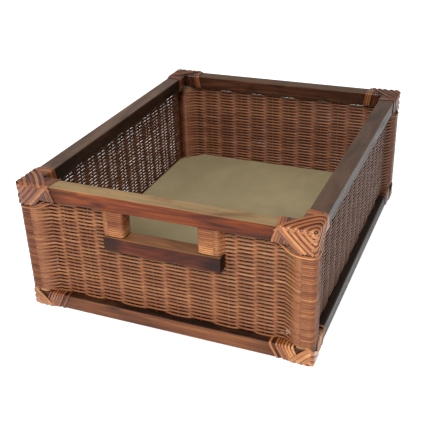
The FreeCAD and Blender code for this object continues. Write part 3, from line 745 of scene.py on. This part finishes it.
def set_stakes(wall, seed, material):
    """The upright stakes, each a little bent and uneven."""
    strands = Strands(seed)
    random = strands.random
    for number, place in enumerate(stake_places(wall)):
        short = wall == "front" and HANDLE_LOW.x < place < HANDLE_HIGH.x
        top = (HANDLE_LOW.z if short else RAIL_UNDER) + 3 * MM
        height = np.linspace(RAIL_TOP - 3 * MM, top, 40)
        along = place + 0.35 * MM * lattice(height / 0.06, number * 1.7, seed)
        out = 0.2 * MM * lattice(height / 0.07, number * 2.3, seed + 3)
        radius = STAKE * (1 + 0.05 * lattice(height / 0.03, number * 3.1, seed + 7))
        outward = to_world(wall, 0, 1, 0) - to_world(wall, 0, 0, 0)
        strands.tube(to_world(wall, along, out, height), radius, random.rand(), upright=outward, sides=10)
    return strands.build(f"stake_row_{wall}", material, [f"stakes_{wall}"])


# ---------------------------------------------------------------- corner bindings

EDGE = 3 * MM


def on_face(p, q, lift, axis_p, axis_q, out):
    """Points and normals on a face whose edges at p = 0 and q = 0 are rounded over.

    p and q are distances from the corner along the face's two edges, and below 0 they are
    on the neighbouring face.
    """
    p, q, lift = np.broadcast_arrays(np.asarray(p, float), np.asarray(q, float), np.asarray(lift, float))
    points, normals = np.empty(p.shape + (3,)), np.empty(p.shape + (3,))
    for k in np.ndindex(p.shape):
        a, b, h = p[k], q[k], lift[k]
        if b < EDGE and b <= a:
            turn = min(1.0, (EDGE - b) / (2 * EDGE)) * math.pi / 2
            normal = math.cos(turn) * out - math.sin(turn) * axis_q
            beyond = max(0.0, -EDGE - b)
            point = a * axis_p + EDGE * axis_q - EDGE * out + (EDGE + h) * normal - beyond * out
        elif a < EDGE:
            turn = min(1.0, (EDGE - a) / (2 * EDGE)) * math.pi / 2
            normal = math.cos(turn) * out - math.sin(turn) * axis_p
            beyond = max(0.0, -EDGE - a)
            point = b * axis_q + EDGE * axis_p - EDGE * out + (EDGE + h) * normal - beyond * out
        else:
            normal = out
            point = a * axis_p + b * axis_q + h * out
        points[k], normals[k] = point, normal
    return points, normals


def smooth(value, low, high):
    share = np.clip((value - low) / (high - low), 0, 1)
    return share * share * (3 - 2 * share)


def bind_corner(corner, level, seed, material):
    """Cane strips round the ends of two rails and the post, top or bottom."""
    strands = Strands(seed)
    random = strands.random
    sign_x, sign_y = CORNERS[corner]
    upper = level == "top"
    low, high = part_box(f"{level}_rail_front")
    vertex = np.array([sign_x * high.x, sign_y * -low.y, high.z if upper else low.z])
    along_x = np.array([-sign_x, 0.0, 0.0])
    along_y = np.array([0.0, -sign_y, 0.0])
    down = np.array([0.0, 0.0, -1.0 if upper else 1.0])
    rail_high, rail_wide = high.z - low.z, high.y - low.y
    face_out = -along_y
    top_out = -down
    side_out = -along_x

    # Distances of the strips from the corner, in mm; each "under" list lies beneath the other. Face
    # strips cross the outer face aslant. Wrap strips cross the top or underside, and then the side.
    if upper:
        face_places, face_under = [7, 17, 27.5, 38, 48, 54.5], [12, 22, 33, 43, 50, 58]
        wrap_places, wrap_under = [6.5, 16.3, 29.5, 40, 51], [11.5, 23, 35, 45.5]
    else:
        face_places, face_under = [14, 24, 33], [8, 19, 29]
        wrap_places, wrap_under = [8, 18.5, 29], [13, 24]
    wide = (5.2 if upper else 6.4) * MM
    reach = rail_high + (11.5 if upper else 7) * MM   # of the strips, up or down the corner
    deep_lifts, proud_lifts = (0.4 * MM, 1.0 * MM), (1.0 * MM, 2.3 * MM)

    def lay_strip(points, normals, under):
        """Strips beneath are wider, and painted dark as the shade in the gaps between the strips over them;
        the others vary a little.
        """
        width = wide * (1.35 if under else random.uniform(0.94, 1.04))
        tone = 0.05 if under else 0.4 + 0.5 * random.rand()
        strands.strip(vertex + points, normals, width, 1.4 * MM, tone)

    for place in face_under + face_places:
        under = place in face_under
        low_lift, high_lift = deep_lifts if under else proud_lifts
        s = (place + random.uniform(-0.4, 0.4)) * MM
        start = 4 * MM if under and place > 49 else -1.5 * MM
        t = np.linspace(start, s + 1.5 * MM, max(14, int(s / (1.6 * MM))))
        bow = 0.6 * MM * np.sin(math.pi * np.clip(t / s, 0, 1))
        p, q = s - t + bow, t + bow
        rise = np.minimum(smooth(q, 0.0, 5 * MM), smooth(p, 2.5 * MM, 8 * MM))
        lift = low_lift + (high_lift - low_lift) * rise
        if s < 10 * MM:
            lift = np.full(len(t), low_lift + 0.4 * MM)
        keep = q < reach
        lay_strip(*on_face(p[keep], q[keep], lift[keep], along_x, down, face_out), under)

    for place in wrap_under + wrap_places:
        under = place in wrap_under
        low_lift, high_lift = deep_lifts if under else proud_lifts
        s = (place + random.uniform(-0.4, 0.4)) * MM
        side_s = max(s - 5.5 * MM, 3.5 * MM)
        m = np.linspace(-s - 8 * MM, side_s + 8 * MM, max(30, int(s / (0.75 * MM))))
        scaled = np.where(m < 0, m, m * s / side_s)
        round_off, steepness = 0.34 * s, 1.28
        n = steepness * (math.sqrt(s * s + round_off**2) - np.sqrt(scaled**2 + round_off**2))
        n = np.where(np.abs(scaled) > s, s - np.abs(scaled), n)
        lift = low_lift + (high_lift - low_lift) * smooth(n, -4.5 * MM, -0.5 * MM)
        on_top = m < 0
        points, normals = np.empty((2, len(m), 3))
        points[on_top], normals[on_top] = on_face(
            -m[on_top], n[on_top], lift[on_top], along_x, along_y, top_out)
        points[~on_top], normals[~on_top] = on_face(
            n[~on_top], m[~on_top], lift[~on_top], along_y, down, side_out)
        keep = m < reach
        lay_strip(points[keep], normals[keep], under)

    # Narrow turns round each rail. Each point is how far along the rail the turn is at the
    # corners of the rail's section: top outer, bottom outer, bottom inner, top inner.
    if upper:
        turns = [(46 + 4.3 * k, 54 + 4.3 * k, 54 + 4.3 * k, 50 + 4.3 * k) for k in range(-3, 3)]
    else:
        turns = [(p - 12.5, p, p - 1, p - 9) for p in (65, 55, 50.5, 46, 41, 36, 30.5)]

    # Order round the section: start at the top outer corner and go down the outer face.
    over = 0.9 * MM
    section = ring_path((rail_wide / 2, rail_high / 2), rail_wide / 2 + over, rail_high / 2 + over,
                        EDGE + over, 1.8 * MM)
    across, deep = section[:, 0], section[:, 1]
    first = math.atan2(-rail_high, -rail_wide)
    angle = (np.arctan2(deep - rail_high / 2, across - rail_wide / 2) - first) % (2 * math.pi)
    marks = [math.atan2(rail_high, -rail_wide), math.atan2(rail_high, rail_wide),
             math.atan2(-rail_high, rail_wide)]
    marks = [0.0] + [(mark - first) % (2 * math.pi) for mark in marks] + [2 * math.pi]
    for axis, outward in ((along_x, along_y), (along_y, along_x)):
        for stops in turns:
            order = sorted(zip(marks, stops + stops[:1]))
            place = np.interp(angle, [mark for mark, _ in order], [stop for _, stop in order]) * MM
            spot = vertex + place[:, None] * axis + across[:, None] * outward + deep[:, None] * down
            middle = vertex + place[:, None] * axis + rail_wide / 2 * outward + rail_high / 2 * down
            tone = 0.3 * random.rand() if upper and stops[0] < 45 else 0.3 + 0.6 * random.rand()
            width = 3.9 * MM * random.uniform(0.9, 1.08)
            strands.strip(spot, spot - middle, width, 1.2 * MM, tone, closed=True)
    return strands.build(f"cane_binding_{level}_{corner}", material,
                         [f"{level}_binding_{corner}"])


# ---------------------------------------------------------------- making

make_camera()
make_stage()

REED = [(0.20, linear(86, 38, 18)), (0.42, linear(134, 78, 44)), (0.62, linear(162, 106, 66)),
        (0.80, linear(196, 144, 100))]
TURNS = [(0.20, linear(82, 36, 15)), (0.45, linear(118, 66, 34)), (0.65, linear(134, 82, 46)),
         (0.82, linear(180, 126, 78))]
STRIPS = [(0.18, linear(62, 18, 6)), (0.42, linear(120, 64, 30)), (0.62, linear(152, 94, 50)),
          (0.82, linear(196, 144, 92))]
# The stakes' cane is dark brown, darker than the weavers', as painted shade for their place deep between
# the rows.
STAKES = cane_material("stake_cane", [(0.20, linear(46, 22, 12)), (0.50, linear(72, 40, 24)),
                                      (0.80, linear(98, 60, 38))], rough=0.55)

# How much light each wall, corner and upright gives back, as factors on the cane's colours. The
# differences between them are painted shade, darker where a face looks away from the light, matched
# to how dark each one looks.
WALL_TONE_AND_SHADE = {"front": (0.70, 0.68, 0.64), "right": (0.40, 0.38, 0.36),
               "back": (0.56, 0.54, 0.56), "left": (0.42, 0.40, 0.40)}
CORNER_TONE_AND_SHADE = {"front_left": (0.66, 0.58, 0.54), "front_right": (1.0, 0.98, 0.94),
                 "back_right": (0.44, 0.36, 0.34), "back_left": (0.42, 0.34, 0.32)}
UPRIGHT_TONE_AND_SHADE = {"left": (0.80, 0.72, 0.66), "right": (1.0, 0.98, 0.96)}


def winding_material(name, tone_and_shade):
    return cane_material(f"winding_{name}", TURNS, rough=0.38, spots=0.45, tone_and_shade=tone_and_shade)


for number, wall in enumerate(WALL_TURNS):
    reed = cane_material(f"weaver_reed_{wall}", REED, rough=0.38, tone_and_shade=WALL_TONE_AND_SHADE[wall])
    weave_wall(wall, 101 + number, reed)
    set_stakes(wall, 201 + number, STAKES)
for number, corner in enumerate(CORNERS):
    wind_corner(corner, 301 + number, winding_material(corner, CORNER_TONE_AND_SHADE[corner]))
    cane = cane_material(f"binding_cane_{corner}", STRIPS, rough=0.34, spots=0.3, coat=0.35,
                         tone_and_shade=CORNER_TONE_AND_SHADE[corner])
    bind_corner(corner, "top", 401 + number, cane)
    bind_corner(corner, "bottom", 501 + number, cane)
for number, side in enumerate(("left", "right")):
    wind_upright(side, 601 + number, winding_material(f"upright_{side}", UPRIGHT_TONE_AND_SHADE[side]))


def paint(node, material):
    NODES[node].data.materials.clear()
    NODES[node].data.materials.append(material)


# Dark, middle and light stain, how dark the ends are, and the tint of the upper face, as screen
# values. The stain differs from rail to rail; its extra darkness on the right, back and left rails,
# which face away from the light, is painted shade. The upper tint is painted light and sheen on the
# top and handle rails, and painted shadow on the front bottom rail, under the weave.
RAIL_TONES = {
    "top_rail_front": ((34, 12, 6), (96, 42, 18), (140, 78, 36), 0.85, (136, 112, 78)),
    "top_rail_right": ((24, 14, 10), (48, 28, 20), (74, 50, 36), 0.5, (86, 64, 50)),
    "top_rail_back": ((30, 14, 8), (58, 30, 18), (84, 52, 32), 0.6, (84, 60, 40)),
    "top_rail_left": ((22, 12, 9), (44, 26, 18), (70, 46, 34), 0.6, (100, 78, 64)),
    "bottom_rail_front": ((44, 20, 11), (102, 58, 33), (136, 88, 54), 0.7, (30, 17, 11)),
    "bottom_rail_right": ((20, 16, 15), (34, 27, 24), (54, 45, 40), 0.5, (40, 31, 26)),
    "bottom_rail_back": ((34, 18, 11), (70, 40, 24), (98, 64, 40), 0.6, (70, 42, 26)),
    "bottom_rail_left": ((30, 17, 11), (60, 36, 24), (88, 58, 40), 0.6, (60, 38, 26)),
    "handle_rail": ((26, 9, 5), (74, 28, 12), (112, 54, 26), 0.85, (128, 86, 54)),
}
for number, (node, (dark, middle, light, ends, upper)) in enumerate(RAIL_TONES.items()):
    low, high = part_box(node)
    axis = "y" if node.endswith(("right", "left")) else "x"
    dark, middle, light, upper = (linear(*colour) for colour in (dark, middle, light, upper))
    paint(node, wood_material(f"stain_{node}", axis, number + 1, dark, middle, light, ends, low, high,
                              upper=upper))

BARE = wood_material("bare_pine", "z", 31, linear(120, 84, 52), linear(166, 124, 82),
                     linear(196, 158, 112), rough=0.6)
for node in NODES:
    if node.startswith(("corner_post_", "handle_upright_")):
        paint(node, BARE)
paint("floor_board", board_material())
paint("frame_nails", steel_material())

low, high = CAD_BOX
